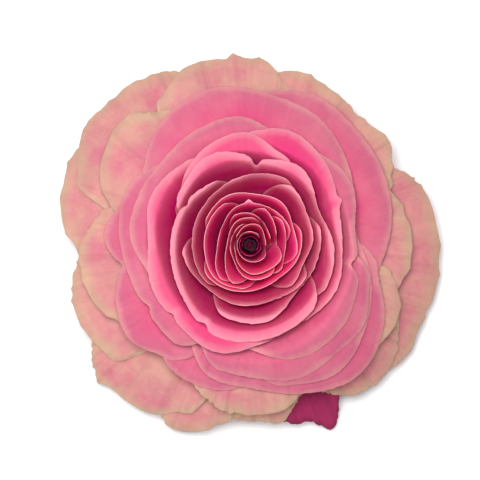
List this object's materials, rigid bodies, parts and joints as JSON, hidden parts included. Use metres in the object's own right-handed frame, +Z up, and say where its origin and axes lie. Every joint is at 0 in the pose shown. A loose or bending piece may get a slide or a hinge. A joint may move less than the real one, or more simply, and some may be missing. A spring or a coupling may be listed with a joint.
{
  "type": "rose",
  "caption": "Fully open garden rose head, picked just below the hip, resting face up on its cut stalk and bent-back sepals.",
  "frame": {"origin": "middle of the rose's box at the surface it rests on", "axes": "+Z up out of the face of the bloom; +X is to the right and +Y away as the bloom is seen from above"},
  "size_m": [0.1142, 0.1124, 0.0532],
  "materials": {
    "heart_petals": "velvety petal, deep pink",
    "cup_petals": "velvety petal, pink with a lighter rim",
    "bowl_petals": "velvety petal, dusty pink",
    "guard_petals": "soft petal, peach and cream at the edge",
    "sepals": "matt leafy green",
    "hip": "smooth green, faintly waxy",
    "stalk": "green rind, pale at the cut",
    "stamens": "dusty yellow",
    "styles": "matt pale green"
  },
  "bodies": {
    "root": {"heart_petal_01": "heart_petals", "heart_petal_02": "heart_petals", "heart_petal_03": "heart_petals", "heart_petal_04": "heart_petals", "heart_petal_05": "heart_petals", "heart_petal_06": "heart_petals", "heart_petal_07": "heart_petals", "heart_petal_08": "heart_petals", "heart_petal_09": "heart_petals", "heart_petal_10": "heart_petals", "heart_petal_11": "heart_petals", "heart_petal_12": "heart_petals", "heart_petal_13": "heart_petals", "heart_petal_14": "heart_petals", "cup_petal_01": "cup_petals", "cup_petal_02": "cup_petals", "cup_petal_03": "cup_petals", "cup_petal_04": "cup_petals", "cup_petal_05": "cup_petals", "cup_petal_06": "cup_petals", "cup_petal_07": "cup_petals", "cup_petal_08": "cup_petals", "cup_petal_09": "cup_petals", "bowl_petal_01": "bowl_petals", "bowl_petal_02": "bowl_petals", "bowl_petal_03": "bowl_petals", "bowl_petal_04": "bowl_petals", "bowl_petal_05": "bowl_petals", "bowl_petal_06": "bowl_petals", "bowl_petal_07": "bowl_petals", "bowl_petal_08": "bowl_petals", "bowl_petal_09": "bowl_petals", "bowl_petal_10": "bowl_petals", "guard_petal_01": "guard_petals", "guard_petal_02": "guard_petals", "guard_petal_03": "guard_petals", "guard_petal_04": "guard_petals", "guard_petal_05": "guard_petals", "guard_petal_06": "guard_petals", "guard_petal_07": "guard_petals", "guard_petal_08": "guard_petals", "guard_petal_09": "guard_petals", "guard_petal_10": "guard_petals", "guard_petal_11": "guard_petals", "guard_petal_12": "guard_petals", "guard_petal_13": "guard_petals", "guard_petal_14": "guard_petals", "guard_petal_15": "guard_petals", "guard_petal_16": "guard_petals", "sepal_1": "sepals", "sepal_2": "sepals", "sepal_3": "sepals", "sepal_4": "sepals", "sepal_5": "sepals", "hip": "hip", "stalk": "stalk", "stamens": "stamens", "styles": "styles"}
  },
  "joints": []
}
